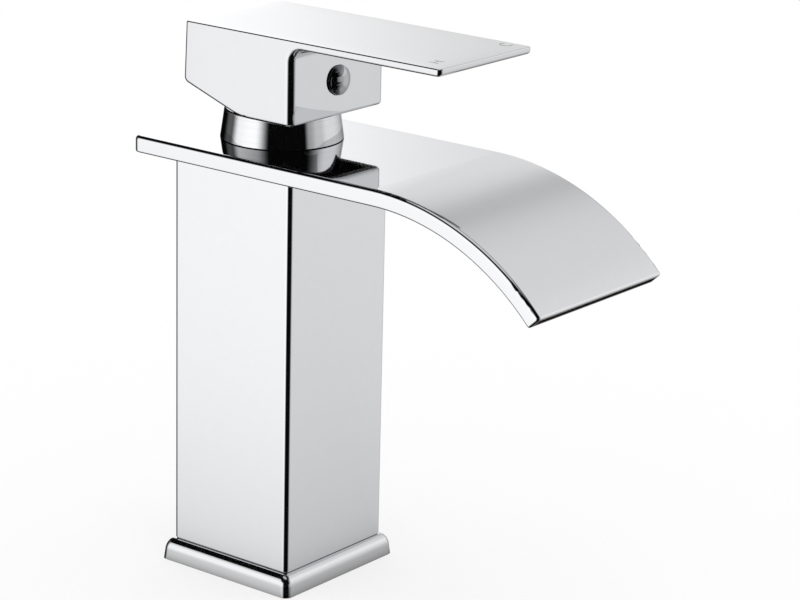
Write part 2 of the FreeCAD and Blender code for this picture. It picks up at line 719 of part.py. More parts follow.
def make_handle():
    """Hollow handle: cavity from below, boss with the square socket, and the screw's hole from the front."""
    body = handle_body()
    roof = handle_top - handle_roof
    front = handle_front - handle_wall
    back = handle_back_top - handle_wall
    cavity = block(-handle_half_width + handle_wall, handle_half_width - handle_wall, -front, back,
                   handle_bottom - past, roof)
    upright = [edge for edge in cavity.Edges if edge.BoundBox.ZLength > past]
    cavity = cavity.makeFillet(cavity_corner, upright)
    socket_half = stem_half + socket_play
    boss_half = socket_half + socket_wall
    boss = block(-boss_half, boss_half, -boss_half, boss_half, handle_bottom + boss_bottom, roof + past)
    boss_end = Vector(0, -front - past, plug_z)
    screw_boss = Part.makeCylinder(screw_boss_radius, front - boss_half + 2 * past, boss_end, Vector(0, 1, 0))
    body = body.cut(cavity).fuse([boss, screw_boss])
    socket_top = stem_top + socket_head_gap
    socket = block(-socket_half, socket_half, -socket_half, socket_half, handle_bottom, socket_top)
    face = Vector(0, -handle_front, plug_z)
    screw_hole = Part.makeCylinder(screw_radius, handle_front, face, Vector(0, 1, 0))
    plug_hole = Part.makeCylinder(plug_radius + plug_play, plug_depth, face, Vector(0, 1, 0))
    body = body.cut([socket, screw_hole, plug_hole]).removeSplitter()
    mouth = [edge for edge in body.Edges
             if abs(edge.BoundBox.YMax + handle_front) < close and edge.BoundBox.YLength < close
             and edge.BoundBox.XMax < plug_radius + fit_gap and edge.BoundBox.ZLength > plug_radius]
    return body.makeFillet(plug_rim, mouth)


def make_screw():
    """Grub screw with a hexagon socket, its point on the stem."""
    tip = -stem_half - screw_play
    head = tip - screw_length
    half = screw_radius / 2
    shoulder = tip - half
    along = Vector(0, 1, 0)
    screw = Part.makeCylinder(screw_radius - screw_play, screw_length, Vector(0, head, plug_z), along)
    point = Part.makeCone(screw_radius, half, half, Vector(0, shoulder, plug_z), along)
    shank = screw.cut(block(-far, far, shoulder, far, 0, far)).fuse(screw.common(point))
    corner = screw_hex / math.sqrt(3)
    turns = [math.radians(60 * index) for index in range(6)]
    corners = [Vector(corner * math.cos(turn), head - past, plug_z + corner * math.sin(turn))
               for turn in turns]
    hexagon = Part.Face(Part.makePolygon(corners + corners[:1])).extrude(Vector(0, screw_hex_depth + past, 0))
    return shank.cut(hexagon).removeSplitter()


def make_plug():
    """Round plug with a high dome, pressed into the handle over the screw."""
    crown_y = -handle_front - plug_crown
    rise = plug_crown - plug_wall
    dome_radius = (plug_radius ** 2 + rise ** 2) / (2 * rise)
    crown = Vector(0, crown_y, plug_z)
    shank = Part.makeCylinder(plug_radius, plug_depth + plug_crown, crown, Vector(0, 1, 0))
    plug = shank.common(Part.makeSphere(dome_radius, Vector(0, crown_y + dome_radius, plug_z)))
    edge_y = -handle_front - plug_wall
    edge = [edge for edge in plug.Edges
            if edge.BoundBox.YLength < close and abs(edge.BoundBox.YMax - edge_y) < close]
    return plug.makeFillet(plug_edge_round, edge)


# ---- Write the pieces ----------------------------------------------------------------------------
pieces = {
    "column_body": make_column,
    "base_flange": make_flange,
    "base_gasket": make_gasket,
    "spout": make_spout,
    "flow_straightener": make_flow_straightener,
    "bonnet": make_bonnet,
    "bonnet_o_ring": make_bonnet_ring,
    "cartridge_nut": make_nut,
    "cartridge_housing": make_housing,
    "housing_o_ring": make_housing_ring,
    "cartridge_base": make_base,
    "port_seals": make_port_seals,
    "disc_seals": make_disc_seals,
    "fixed_disc": make_fixed_disc,
    "moving_disc": make_moving_disc,
    "disc_carrier": make_carrier,
    "stem_rotor": make_rotor,
    "rotor_o_ring": make_rotor_ring,
    "pivot_pin": make_pin,
    "stem": make_stem,
    "handle": make_handle,
    "set_screw": make_screw,
    "screw_plug": make_plug,
}
os.makedirs("parts", exist_ok=True)
for name, make in pieces.items():
    shape = make()
    volume = shape.Volume / 1000
    print(f"{name}: solids {len(shape.Solids)}, valid {shape.isValid()}, volume {volume:.3f} cm3")
    shape.exportStep(f"parts/{name}.step")
print(f"pivot at z {pivot_z:.2f}, disc travel {disc_travel:.3f} mm over {lift_angle} degrees")
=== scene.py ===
import math

import bpy
import numpy as np
from mathutils import Matrix, Vector


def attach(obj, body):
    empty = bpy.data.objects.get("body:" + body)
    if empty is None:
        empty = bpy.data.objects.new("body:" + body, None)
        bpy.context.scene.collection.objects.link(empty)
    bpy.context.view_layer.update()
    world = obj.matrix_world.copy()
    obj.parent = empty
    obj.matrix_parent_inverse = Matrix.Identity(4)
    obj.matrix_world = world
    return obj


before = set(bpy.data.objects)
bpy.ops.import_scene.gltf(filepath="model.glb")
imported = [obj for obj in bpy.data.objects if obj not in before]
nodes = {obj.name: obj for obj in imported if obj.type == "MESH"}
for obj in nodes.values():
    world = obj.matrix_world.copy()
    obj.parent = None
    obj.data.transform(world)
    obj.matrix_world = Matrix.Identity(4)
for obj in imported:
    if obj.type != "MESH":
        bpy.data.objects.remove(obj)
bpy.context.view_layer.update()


# ---- Base flange ----------------------------------------------------------------------------------
# Square die-cast flange that hides the hole in the basin. It is ground, polished and plated with
# nickel and chromium, and lies loose under the foot of the column.
chrome_color = (0.925, 0.93, 0.945)
chrome_film = (0.90, 0.907, 0.925)    # where the plating is thinner
flange_color = (0.88, 0.885, 0.895)
flange_film = (0.85, 0.855, 0.87)


def place(tree, kind, inputs=None, **settings):
    """Adds a shader node, and gives each named input a value or another node's output."""
    node = tree.nodes.new("ShaderNode" + kind)
    for name, value in settings.items():
        setattr(node, name, value)
    for name, value in (inputs or {}).items():
        if isinstance(value, bpy.types.NodeSocket):
            tree.links.new(value, node.inputs[name])
        else:
            node.inputs[name].default_value = value
    return node


def new_group(name, inputs, outputs):
    """Empty node group with named sockets, given as (name, kind, default) and (name, kind)."""
    group = bpy.data.node_groups.new(name, "ShaderNodeTree")
    for label, kind, default in inputs:
        socket = group.interface.new_socket(label, in_out="INPUT", socket_type="NodeSocket" + kind)
        socket.default_value = default
    for label, kind in outputs:
        group.interface.new_socket(label, in_out="OUTPUT", socket_type="NodeSocket" + kind)
    return group, group.nodes.new("NodeGroupInput"), group.nodes.new("NodeGroupOutput")


def shade(tree, share, first, second):
    """Colour mixed by a share; returns its output."""
    return place(tree, "Mix", {0: share, 6: first, 7: second}, data_type="RGBA").outputs[2]


def blend_value(tree, share, first, second):
    """Number mixed by a share; returns its output."""
    return place(tree, "Mix", {0: share, 2: first, 3: second}).outputs[0]


def math_node(tree, operation, first, second=0.0, third=0.0):
    """Result of a math node."""
    return place(tree, "Math", {0: first, 1: second, 2: third}, operation=operation).outputs[0]


# Polished plate: broad hollows left by the polishing wheel, and a fine haze with tiny pits in it.
polish, entry, leave = new_group(
    "polished_plate",
    [("Color", "Color", (1, 1, 1, 1)), ("Film", "Color", (1, 1, 1, 1)), ("Smooth", "Float", 0.02),
     ("Haze", "Float", 0.05), ("Hollows", "Float", 6e-6), ("Pits", "Float", 1.5e-6)],
    [("Color", "Color"), ("Roughness", "Float"), ("Height", "Float")])
spot = place(polish, "TexCoord").outputs["Object"]
broad = place(polish, "TexNoise", {"Vector": spot, "Scale": 45.0, "Detail": 1.0}).outputs["Fac"]
clouding = place(polish, "TexNoise", {"Vector": spot, "Scale": 260.0, "Detail": 4.0, "Roughness": 0.6})
cloud = clouding.outputs["Fac"]
grain = place(polish, "TexNoise", {"Vector": spot, "Scale": 1700.0, "Detail": 2.0}).outputs["Fac"]
pitted = place(polish, "MapRange", {"Value": grain, "From Min": 0.62, "From Max": 0.75}).outputs["Result"]
hazed = place(polish, "MapRange", {
    "Value": cloud, "From Min": 0.35, "From Max": 0.75, "To Min": entry.outputs["Smooth"],
    "To Max": entry.outputs["Haze"]}).outputs["Result"]
polish.links.new(shade(polish, cloud, entry.outputs["Film"], entry.outputs["Color"]), leave.inputs["Color"])
polish.links.new(hazed, leave.inputs["Roughness"])
wave = math_node(polish, "MULTIPLY", broad, entry.outputs["Hollows"])
pit_depth = math_node(polish, "MULTIPLY", pitted, entry.outputs["Pits"])
polish.links.new(math_node(polish, "SUBTRACT", wave, pit_depth), leave.inputs["Height"])

# Rough casting: the sandy skin that the plating doesn't reach inside a hollow piece.
casting, entry, leave = new_group(
    "cast_skin",
    [("Dark", "Color", (0.1, 0.1, 0.1, 1)), ("Light", "Color", (0.3, 0.3, 0.3, 1)),
     ("Grain", "Float", 1500.0)],
    [("Color", "Color"), ("Roughness", "Float"), ("Height", "Float")])
spot = place(casting, "TexCoord").outputs["Object"]
sanding = place(casting, "TexNoise", {"Vector": spot, "Scale": entry.outputs["Grain"], "Detail": 4.0})
sand = sanding.outputs["Fac"]
stain = place(casting, "TexNoise", {"Vector": spot, "Scale": 120.0, "Detail": 3.0}).outputs["Fac"]
casting.links.new(shade(casting, stain, entry.outputs["Dark"], entry.outputs["Light"]), leave.inputs["Color"])
sand_rough = place(casting, "MapRange", {"Value": sand, "To Min": 0.4, "To Max": 0.75}).outputs["Result"]
casting.links.new(sand_rough, leave.inputs["Roughness"])
casting.links.new(math_node(casting, "MULTIPLY", sand, 6e-5), leave.inputs["Height"])

# Box mask: 1 between two corners in the piece's own coordinates, 0 outside.
box_mask, entry, leave = new_group(
    "inside_box", [("Low", "Vector", (0, 0, 0)), ("High", "Vector", (0, 0, 0))], [("Mask", "Float")])
spot = place(box_mask, "TexCoord").outputs["Object"]
above = place(box_mask, "VectorMath", {0: spot, 1: entry.outputs["Low"]}, operation="SUBTRACT").outputs[0]
below = place(box_mask, "VectorMath", {0: entry.outputs["High"], 1: spot}, operation="SUBTRACT").outputs[0]
nearest = place(box_mask, "VectorMath", {0: above, 1: below}, operation="MINIMUM").outputs[0]
axes = place(box_mask, "SeparateXYZ", {0: nearest}).outputs
least = math_node(box_mask, "MINIMUM", math_node(box_mask, "MINIMUM", axes[0], axes[1]), axes[2])
box_mask.links.new(math_node(box_mask, "GREATER_THAN", least, 0.0), leave.inputs["Mask"])


def new_material(name, values):
    """Node material with a Principled shader that has plain values; returns both and the tree."""
    material = bpy.data.materials.new(name)
    material.use_nodes = True
    tree = material.node_tree
    tree.nodes.clear()
    shader = place(tree, "BsdfPrincipled", values)
    place(tree, "OutputMaterial", {"Surface": shader.outputs[0]})
    return material, tree, shader


def use(tree, group, inputs):
    """Places a node group with its own values; returns its outputs."""
    node = place(tree, "Group", node_tree=group)
    for name, value in inputs.items():
        node.inputs[name].default_value = (*value, 1) if node.inputs[name].type == "RGBA" else value
    return node.outputs


def relief(tree, shader, height):
    """Height in metres as the shader's normal."""
    bump = place(tree, "Bump", {"Height": height, "Strength": 1.0, "Distance": 1.0})
    tree.links.new(bump.outputs[0], shader.inputs["Normal"])


def plated(name, color, film, smooth, haze, hollows, pits, raw=None, hollow=None):
    """Plated casting: polished plate, with rough casting inside the given box."""
    material, tree, shader = new_material(name, {"Metallic": 1.0})
    plate = use(tree, polish, {"Color": color, "Film": film, "Smooth": smooth, "Haze": haze,
                               "Hollows": hollows, "Pits": pits})
    if hollow is None:
        outputs = [plate[0], plate[1], plate[2]]
    else:
        skin = use(tree, casting, {"Dark": raw[0], "Light": raw[1]})
        mask = use(tree, box_mask, {"Low": hollow[0], "High": hollow[1]})[0]
        outputs = [shade(tree, mask, plate[0], skin[0]), blend_value(tree, mask, plate[1], skin[1]),
                   blend_value(tree, mask, plate[2], skin[2])]
    tree.links.new(outputs[0], shader.inputs["Base Color"])
    tree.links.new(outputs[1], shader.inputs["Roughness"])
    relief(tree, shader, outputs[2])
    return material


def dress(name, material):
    """Gives a CAD node its finish."""
    mesh = nodes[name].data
    mesh.materials.clear()
    mesh.materials.append(material)


flange_chrome = plated("flange_chrome", flange_color, flange_film, smooth=0.045, haze=0.09, hollows=8e-6,
                       pits=1.5e-6)
dress("base_flange", flange_chrome)


# ---- Rubber rings and seals -----------------------------------------------------------------------
# Moulded black nitrile rubber: the gasket under the flange, the O-rings, and the small rings round
# the ports. They are pressed into their grooves and nothing else holds them.
rubber, tree, shader = new_material("black_rubber", {"Metallic": 0.0, "Specular IOR Level": 0.3})
spot = place(tree, "TexCoord").outputs["Object"]
bloom = place(tree, "TexNoise", {"Vector": spot, "Scale": 350.0, "Detail": 4.0}).outputs["Fac"]
skin = place(tree, "TexNoise", {"Vector": spot, "Scale": 5000.0, "Detail": 3.0}).outputs["Fac"]
black = shade(tree, bloom, (0.010, 0.010, 0.011, 1), (0.028, 0.028, 0.030, 1))
tree.links.new(black, shader.inputs["Base Color"])
tree.links.new(place(tree, "MapRange", {"Value": skin, "To Min": 0.5, "To Max": 0.8}).outputs["Result"],
               shader.inputs["Roughness"])
relief(tree, shader, math_node(tree, "MULTIPLY", skin, 1.5e-5))
for name in ("base_gasket", "bonnet_o_ring", "housing_o_ring", "rotor_o_ring", "port_seals", "disc_seals"):
    dress(name, rubber)


# ---- Column ---------------------------------------------------------------------------------------
# Square hollow brass casting with the valve block in its top. Its four faces are ground flat, polished
# and plated. The hollow and the threaded neck stay bare brass.
brass_dark = (0.34, 0.22, 0.07)
brass_light = (0.62, 0.44, 0.17)
skin_half = 0.02155       # m, the plated skin lies outside this square
inside = ((-skin_half, -skin_half, -1), (skin_half, skin_half, 1))
column_chrome = plated("column_chrome", chrome_color, chrome_film, smooth=0.018, haze=0.045, hollows=6e-6,
                       pits=1e-6, raw=(brass_dark, brass_light), hollow=inside)
dress("column_body", column_chrome)


# ---- Waterfall spout ------------------------------------------------------------------------------
# Two brass plates brazed along their edges into one hollow plate, bent over a former, polished and
# plated. It is brazed on the column. The water runs inside it to the slot at its end.
chute_half = 0.02825      # m, half the waterway's width, with 0.05 mm to spare as in the four below
chute_back = 0.0          # m, behind the start of the waterway
bend_axis = (0.0, -0.058, 0.053)
bend_radius = 0.080       # m, of its top surface
spout_top = 0.133
spout_half = 0.0296
spout_thickness = 0.005
chute_inner = 0.07635     # m from the bend's axis, floor and roof of the waterway
chute_outer = 0.07865
chute_floor = 0.12935
chute_roof = 0.13165

# Rolled edge: the wheel takes a little more off a flat face near its edges. The drop falls off with the
# distance from the edge over a reach.
rolled, entry, leave = new_group(
    "rolled_edge", [("Distance", "Float", 1.0), ("Reach", "Float", 0.002), ("Drop", "Float", 1e-4)],
    [("Height", "Float")])
reaches = math_node(rolled, "DIVIDE", entry.outputs["Distance"], entry.outputs["Reach"])
fall = math_node(rolled, "EXPONENT", math_node(rolled, "MULTIPLY", reaches, -1.0))
taken = math_node(rolled, "MULTIPLY", fall, entry.outputs["Drop"])
rolled.links.new(math_node(rolled, "MULTIPLY", taken, -1.0), leave.inputs["Height"])


def roll_edges(tree, height, distances, reach, drop):
    """Height with a rolled edge taken off it for each distance."""
    for distance in distances:
        edge_drop = place(tree, "Group", {}, node_tree=rolled)
        tree.links.new(distance, edge_drop.inputs["Distance"])
        edge_drop.inputs["Reach"].default_value = reach
        edge_drop.inputs["Drop"].default_value = drop
        height = math_node(tree, "ADD", height, edge_drop.outputs[0])
    return height


spout_chrome, tree, shader = new_material("spout_chrome", {"Metallic": 1.0})
plate = use(tree, polish, {"Color": chrome_color, "Film": chrome_film, "Smooth": 0.018, "Haze": 0.045,
                           "Hollows": 8e-6, "Pits": 1e-6})
# The inside of the waterway is given a near-black skin: painted shade of the narrow hollow, darker than the
# bare brass there.
skin = use(tree, casting, {"Dark": (0.02, 0.016, 0.01), "Light": (0.07, 0.055, 0.035)})
spot = place(tree, "TexCoord").outputs["Object"]
from_axis = place(tree, "VectorMath", {0: spot, 1: bend_axis}, operation="SUBTRACT").outputs[0]
in_section = place(tree, "VectorMath", {0: from_axis, 1: (0, 1, 1)}, operation="MULTIPLY").outputs[0]
radius = place(tree, "VectorMath", {0: in_section}, operation="LENGTH").outputs["Value"]
middle = (chute_inner + chute_outer) / 2
in_band = math_node(tree, "COMPARE", radius, middle, chute_outer - middle)
across = place(tree, "SeparateXYZ", {0: spot}).outputs
in_width = math_node(tree, "COMPARE", across[0], 0.0, chute_half)
in_bend = math_node(tree, "LESS_THAN", across[1], bend_axis[1])
bent = math_node(tree, "MULTIPLY", math_node(tree, "MULTIPLY", in_band, in_width), in_bend)
flat = use(tree, box_mask, {"Low": (-chute_half, bend_axis[1], chute_floor),
                            "High": (chute_half, chute_back, chute_roof)})[0]
mask = math_node(tree, "MAXIMUM", bent, flat)
bend_depth = math_node(tree, "SUBTRACT", bend_radius, radius)
flat_depth = math_node(tree, "SUBTRACT", spout_top, across[2])
depth = blend_value(tree, in_bend, flat_depth, bend_depth)
lift_off = math_node(tree, "SUBTRACT", spout_thickness, depth)
side_gap = math_node(tree, "SUBTRACT", spout_half, math_node(tree, "ABSOLUTE", across[0]))
worn = roll_edges(tree, plate[2], (depth, lift_off, side_gap), reach=0.0012, drop=6e-5)
tree.links.new(shade(tree, mask, plate[0], skin[0]), shader.inputs["Base Color"])
tree.links.new(blend_value(tree, mask, plate[1], skin[1]), shader.inputs["Roughness"])
relief(tree, shader, blend_value(tree, mask, worn, skin[2]))
dress("spout", spout_chrome)


# ---- Moulded plastic pieces -----------------------------------------------------------------------
# Injection-moulded acetal and glass-filled nylon. The comb in the spout is dark grey, the cartridge's
# housing and bottom are white, and its rotor and carrier are blue. Each keeps the mould's fine texture.
moulding, entry, leave = new_group(
    "moulded_plastic", [("Dark", "Color", (0, 0, 0, 1)), ("Light", "Color", (1, 1, 1, 1))],
    [("Color", "Color"), ("Roughness", "Float"), ("Height", "Float")])
spot = place(moulding, "TexCoord").outputs["Object"]
flowing = place(moulding, "TexNoise", {"Vector": spot, "Scale": 180.0, "Detail": 2.0, "Distortion": 1.5})
flow = flowing.outputs["Fac"]
texture = place(moulding, "TexNoise", {"Vector": spot, "Scale": 4000.0, "Detail": 2.0}).outputs["Fac"]
toned = shade(moulding, flow, entry.outputs["Dark"], entry.outputs["Light"])
moulding.links.new(toned, leave.inputs["Color"])
flow_rough = place(moulding, "MapRange", {"Value": flow, "To Min": 0.32, "To Max": 0.5}).outputs["Result"]
moulding.links.new(flow_rough, leave.inputs["Roughness"])
moulding.links.new(math_node(moulding, "MULTIPLY", texture, 6e-6), leave.inputs["Height"])
for material_name, dark, light, slot, names in (
        ("comb_plastic", (0.016, 0.016, 0.018), (0.035, 0.035, 0.038), "comb_plastic",
         ("flow_straightener",)),
        ("white_acetal", (0.74, 0.74, 0.71), (0.86, 0.86, 0.84), "cartridge_plastic",
         ("cartridge_base", "cartridge_housing")),
        ("blue_acetal", (0.03, 0.09, 0.28), (0.06, 0.15, 0.40), "rotor_plastic",
         ("disc_carrier", "stem_rotor"))):
    material, tree, shader = new_material(material_name, {"Metallic": 0.0})
    moulded = use(tree, moulding, {"Dark": dark, "Light": light})
    tree.links.new(moulded[0], shader.inputs["Base Color"])
    tree.links.new(moulded[1], shader.inputs["Roughness"])
    relief(tree, shader, moulded[2])
    for name in names:
        dress(name, material)


# ---- Ceramic discs --------------------------------------------------------------------------------
# Sintered alumina, lapped flat and polished where the two discs run on each other. Fine grey specks
# of the sintering show in the white.
ceramic, tree, shader = new_material("lapped_ceramic", {"Metallic": 0.0, "Coat Weight": 0.3})
spot = place(tree, "TexCoord").outputs["Object"]
specks = place(tree, "TexVoronoi", {"Vector": spot, "Scale": 1400.0}, feature="F1").outputs["Distance"]
tone = place(tree, "MapRange", {"Value": specks, "From Min": 0.05, "From Max": 0.25}).outputs["Result"]
lapping = place(tree, "TexNoise", {"Vector": spot, "Scale": 900.0, "Detail": 3.0}).outputs["Fac"]
tree.links.new(shade(tree, tone, (0.60, 0.59, 0.56, 1), (0.90, 0.90, 0.87, 1)), shader.inputs["Base Color"])
tree.links.new(place(tree, "MapRange", {"Value": lapping, "To Min": 0.1, "To Max": 0.22}).outputs["Result"],
               shader.inputs["Roughness"])
relief(tree, shader, math_node(tree, "MULTIPLY", lapping, 1e-6))
for name in ("fixed_disc", "moving_disc"):
    dress(name, ceramic)


# ---- Turned pieces --------------------------------------------------------------------------------
# The nut and the stem are free-cutting brass, the pivot pin and the grub screw bright steel. All are
# turned or milled from bar and left bare, so fine tool marks run round their axes.
tooling, entry, leave = new_group(
    "tool_marks",
    [("Dark", "Color", (0, 0, 0, 1)), ("Light", "Color", (1, 1, 1, 1)), ("Pitch", "Float", 0.0003),
     ("Turn", "Vector", (0, 0, 0))],
    [("Color", "Color"), ("Roughness", "Float"), ("Height", "Float")])
spot = place(tooling, "TexCoord").outputs["Object"]
turned = place(tooling, "VectorRotate", {"Vector": spot, "Rotation": entry.outputs["Turn"]},
               rotation_type="EULER_XYZ").outputs[0]
wave_pitch = 0.314        # a wave texture of scale 1 repeats after this length
wave_scale = math_node(tooling, "DIVIDE", wave_pitch, entry.outputs["Pitch"])
marks = place(tooling, "TexWave", {"Vector": turned, "Scale": wave_scale, "Distortion": 0.6, "Detail": 1.0},
              bands_direction="Z").outputs["Fac"]
tarnish = place(tooling, "TexNoise", {"Vector": spot, "Scale": 300.0, "Detail": 4.0}).outputs["Fac"]
toned = shade(tooling, tarnish, entry.outputs["Dark"], entry.outputs["Light"])
tooling.links.new(toned, leave.inputs["Color"])
dulled = place(tooling, "MapRange", {"Value": tarnish, "To Min": 0.16, "To Max": 0.36}).outputs["Result"]
tooling.links.new(dulled, leave.inputs["Roughness"])
tooling.links.new(math_node(tooling, "MULTIPLY", marks, 4e-6), leave.inputs["Height"])
quarter = math.pi / 2
for material_name, dark, light, pitch, turn, slot, names in (
        ("turned_brass", (0.60, 0.42, 0.15), (0.80, 0.60, 0.27), 0.00025, (0, 0, 0), "brass",
         ("cartridge_nut", "stem")),
        ("bright_pin_steel", (0.46, 0.46, 0.47), (0.62, 0.62, 0.63), 0.0002, (0, quarter, 0), "steel",
         ("pivot_pin",)),
        ("bright_screw_steel", (0.40, 0.40, 0.41), (0.58, 0.58, 0.59), 0.0008, (quarter, 0, 0), "steel",
         ("set_screw",))):
    material, tree, shader = new_material(material_name, {"Metallic": 1.0})
    metal = use(tree, tooling, {"Dark": dark, "Light": light, "Pitch": pitch, "Turn": turn})
    tree.links.new(metal[0], shader.inputs["Base Color"])
    tree.links.new(metal[1], shader.inputs["Roughness"])
    relief(tree, shader, metal[2])
    for name in names:
        dress(name, material)


# ---- Bonnet ---------------------------------------------------------------------------------------
# Tapered brass cover, turned, polished on the lathe and plated. It screws down on the column's neck.
# The last polish leaves hair-fine lines round it.
line_pitch = 0.0006       # m, between the coarser lines
line_color = (0.83, 0.835, 0.85, 1)
bonnet_chrome, tree, shader = new_material("bonnet_chrome", {"Metallic": 1.0})
plate = use(tree, polish, {"Color": chrome_color, "Film": chrome_film, "Smooth": 0.02, "Haze": 0.05,
                           "Hollows": 3e-6, "Pits": 1e-6})
spot = place(tree, "TexCoord").outputs["Object"]
height = place(tree, "SeparateXYZ", {0: spot}).outputs[2]
lining = place(tree, "TexNoise", {"W": height, "Scale": 1 / line_pitch, "Detail": 3.0}, noise_dimensions="1D")
lines = lining.outputs["Fac"]
lined = place(tree, "MapRange", {"Value": lines, "From Min": 0.5, "From Max": 0.8}).outputs["Result"]
tree.links.new(shade(tree, lined, plate[0], line_color), shader.inputs["Base Color"])
tree.links.new(plate[1], shader.inputs["Roughness"])
line_depth = math_node(tree, "MULTIPLY", lines, 1.5e-6)
relief(tree, shader, math_node(tree, "ADD", plate[2], line_depth))
dress("bonnet", bonnet_chrome)


# ---- Handle ---------------------------------------------------------------------------------------
# Die-cast zinc block and lever in one, ground, polished and plated. It is hollow from below, where the
# casting's skin is left rough and is painted near black as shade, and sits on the stem's square with the grub
# screw.
cavity_low = (-0.0184, -0.0183, 0.1)
cavity_high = (0.0184, 0.0164, 0.1646)
rim_low = (-0.03, -0.03, 0.1424)      # the flat rim round the hollow is left unpolished too
rim_high = (0.03, 0.03, 0.1426)
block_half = 0.0213
handle_color = (0.86, 0.865, 0.88)
handle_film = (0.835, 0.84, 0.855)
handle_low = (-0.0745, 0.14255)       # m, front end and underside
handle_high = (0.0199, 0.168)         # close to the back, which leans, and top
handle_chrome, tree, shader = new_material("handle_chrome", {"Metallic": 1.0})
plate = use(tree, polish, {"Color": handle_color, "Film": handle_film, "Smooth": 0.018, "Haze": 0.045,
                           "Hollows": 6e-6, "Pits": 1e-6})
# The hollow and the flat rim round it take the rough skin in a near-black colour: painted shade, darker than
# the zinc's own grey.
skin = use(tree, casting, {"Dark": (0.02, 0.02, 0.022), "Light": (0.06, 0.06, 0.063)})
cavity = use(tree, box_mask, {"Low": cavity_low, "High": cavity_high})[0]
rim = use(tree, box_mask, {"Low": rim_low, "High": rim_high})[0]
mask = math_node(tree, "MAXIMUM", cavity, rim)
place_on = place(tree, "SeparateXYZ", {0: place(tree, "TexCoord").outputs["Object"]}).outputs
gaps = [math_node(tree, "SUBTRACT", block_half, math_node(tree, "ABSOLUTE", place_on[0]))]
for axis, low, high in ((1, handle_low[0], handle_high[0]), (2, handle_low[1], handle_high[1])):
    gaps.append(math_node(tree, "SUBTRACT", place_on[axis], low))
    gaps.append(math_node(tree, "SUBTRACT", high, place_on[axis]))
worn = roll_edges(tree, plate[2], gaps, reach=0.0026, drop=2e-4)
tree.links.new(shade(tree, mask, plate[0], skin[0]), shader.inputs["Base Color"])
tree.links.new(blend_value(tree, mask, plate[1], skin[1]), shader.inputs["Roughness"])
relief(tree, shader, blend_value(tree, mask, worn, skin[2]))
dress("handle", handle_chrome)


# ---- Screw plug -----------------------------------------------------------------------------------
# Moulded plug with a chromed dome, pushed into the hole in front of the grub screw. Moulded pieces are
# plated over a less even skin than the castings, so the dome's reflections are a little mottled.
plug_color = (0.66, 0.665, 0.68)
plug_film = (0.50, 0.505, 0.52)
plug_chrome = plated("plug_chrome", plug_color, plug_film, smooth=0.03, haze=0.08, hollows=1.2e-5, pits=2e-6)
dress("screw_plug", plug_chrome)


# ---- Hot and cold marks ---------------------------------------------------------------------------
# Plain H and C on top of the lever, each on the side that the lever is turned to for it. They are cut a
# tenth of a millimetre deep and filled with dark grey enamel, which stands just above the plating.
mark_height = 3.5         # mm, of the letters
mark_width = 2.6
stroke_width = 0.24
mark_top = 168.02
mark_bottom = 167.9
hot_middle = np.array((-13.9, -67.5))
cold_middle = np.array((17.9, -67.7))


def stroke(path):
    """Flat bar along a path. Its half width is w at the middle and w times the square root of
    1 - (1 - d / w) squared within a distance d = w of either end, so that both ends are round."""
    run = np.concatenate(([0.0], np.cumsum(np.linalg.norm(np.diff(path, axis=0), axis=1))))
    wide = stroke_width / 2
    cap = wide * (1 - np.cos(np.linspace(0, math.pi / 2, 5)))
    along = np.concatenate((cap, np.linspace(wide, run[-1] - wide, 24)[1:-1], (run[-1] - cap)[::-1]))
    line = np.stack([np.interp(along, run, path[:, axis]) for axis in (0, 1)], axis=1)
    ahead = np.gradient(line, along, axis=0)
    ahead /= np.linalg.norm(ahead, axis=1)[:, None]
    side = np.stack((-ahead[:, 1], ahead[:, 0]), axis=1)
    near_end = np.clip(np.minimum(along, run[-1] - along) / wide, 0.02, 1)
    half = wide * np.sqrt(1 - (1 - near_end) ** 2)[:, None]
    left, right = line + side * half, line - side * half
    corners = ((left, mark_top), (left, mark_bottom), (right, mark_bottom), (right, mark_top))
    rings = [np.column_stack((side_line, np.full(len(side_line), height))) for side_line, height in corners]
    points = np.stack(rings, axis=1)
    count = len(along)
    step, turn = np.meshgrid(np.arange(count - 1), np.arange(4), indexing="ij")
    ahead_ring, next_point = step + 1, (turn + 1) % 4
    faces = np.stack((step * 4 + turn, step * 4 + next_point,
                      ahead_ring * 4 + next_point, ahead_ring * 4 + turn), axis=-1)
    ends = [(0, 1, 2, 3)[::-1], tuple(range(4 * count - 4, 4 * count))]
    return points.reshape(-1, 3) / 1000, faces.reshape(-1, 4).tolist() + [list(end) for end in ends]


def mark(name, strokes, middle):
    """One mesh from its strokes, given round the mark's own middle in millimetres."""
    points, faces, start = [], [], 0
    for path in strokes:
        bar, sides = stroke(path + middle)
        points.append(bar)
        faces += [[corner + start for corner in side] for side in sides]
        start += len(bar)
    mesh = bpy.data.meshes.new(name)
    mesh.from_pydata(np.concatenate(points).tolist(), [], faces)
    piece = bpy.data.objects.new(name, mesh)
    bpy.context.scene.collection.objects.link(piece)
    mesh.materials.append(enamel)
    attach(piece, "lever")


enamel, tree, shader = new_material("grey_enamel", {"Metallic": 0.0, "Coat Weight": 0.2})
spot = place(tree, "TexCoord").outputs["Object"]
cloud = place(tree, "TexNoise", {"Vector": spot, "Scale": 3000.0, "Detail": 3.0}).outputs["Fac"]
grey = shade(tree, cloud, (0.07, 0.07, 0.075, 1), (0.16, 0.16, 0.165, 1))
tree.links.new(grey, shader.inputs["Base Color"])
tree.links.new(place(tree, "MapRange", {"Value": cloud, "To Min": 0.35, "To Max": 0.6}).outputs["Result"],
               shader.inputs["Roughness"])
relief(tree, shader, math_node(tree, "MULTIPLY", cloud, 4e-6))
upright = np.array(((0, -mark_height / 2), (0, mark_height / 2)))
leg = np.array((mark_width / 2, 0))
cross = np.array(((-mark_width / 2, 0), (mark_width / 2, 0)))
mark("hot_mark", (upright - leg, upright + leg, cross), hot_middle)
turn = np.radians(np.linspace(48, 312, 40))
curve = np.stack((np.cos(turn) * mark_height / 2, np.sin(turn) * mark_height / 2), axis=1)
mark("cold_mark", (curve,), cold_middle)


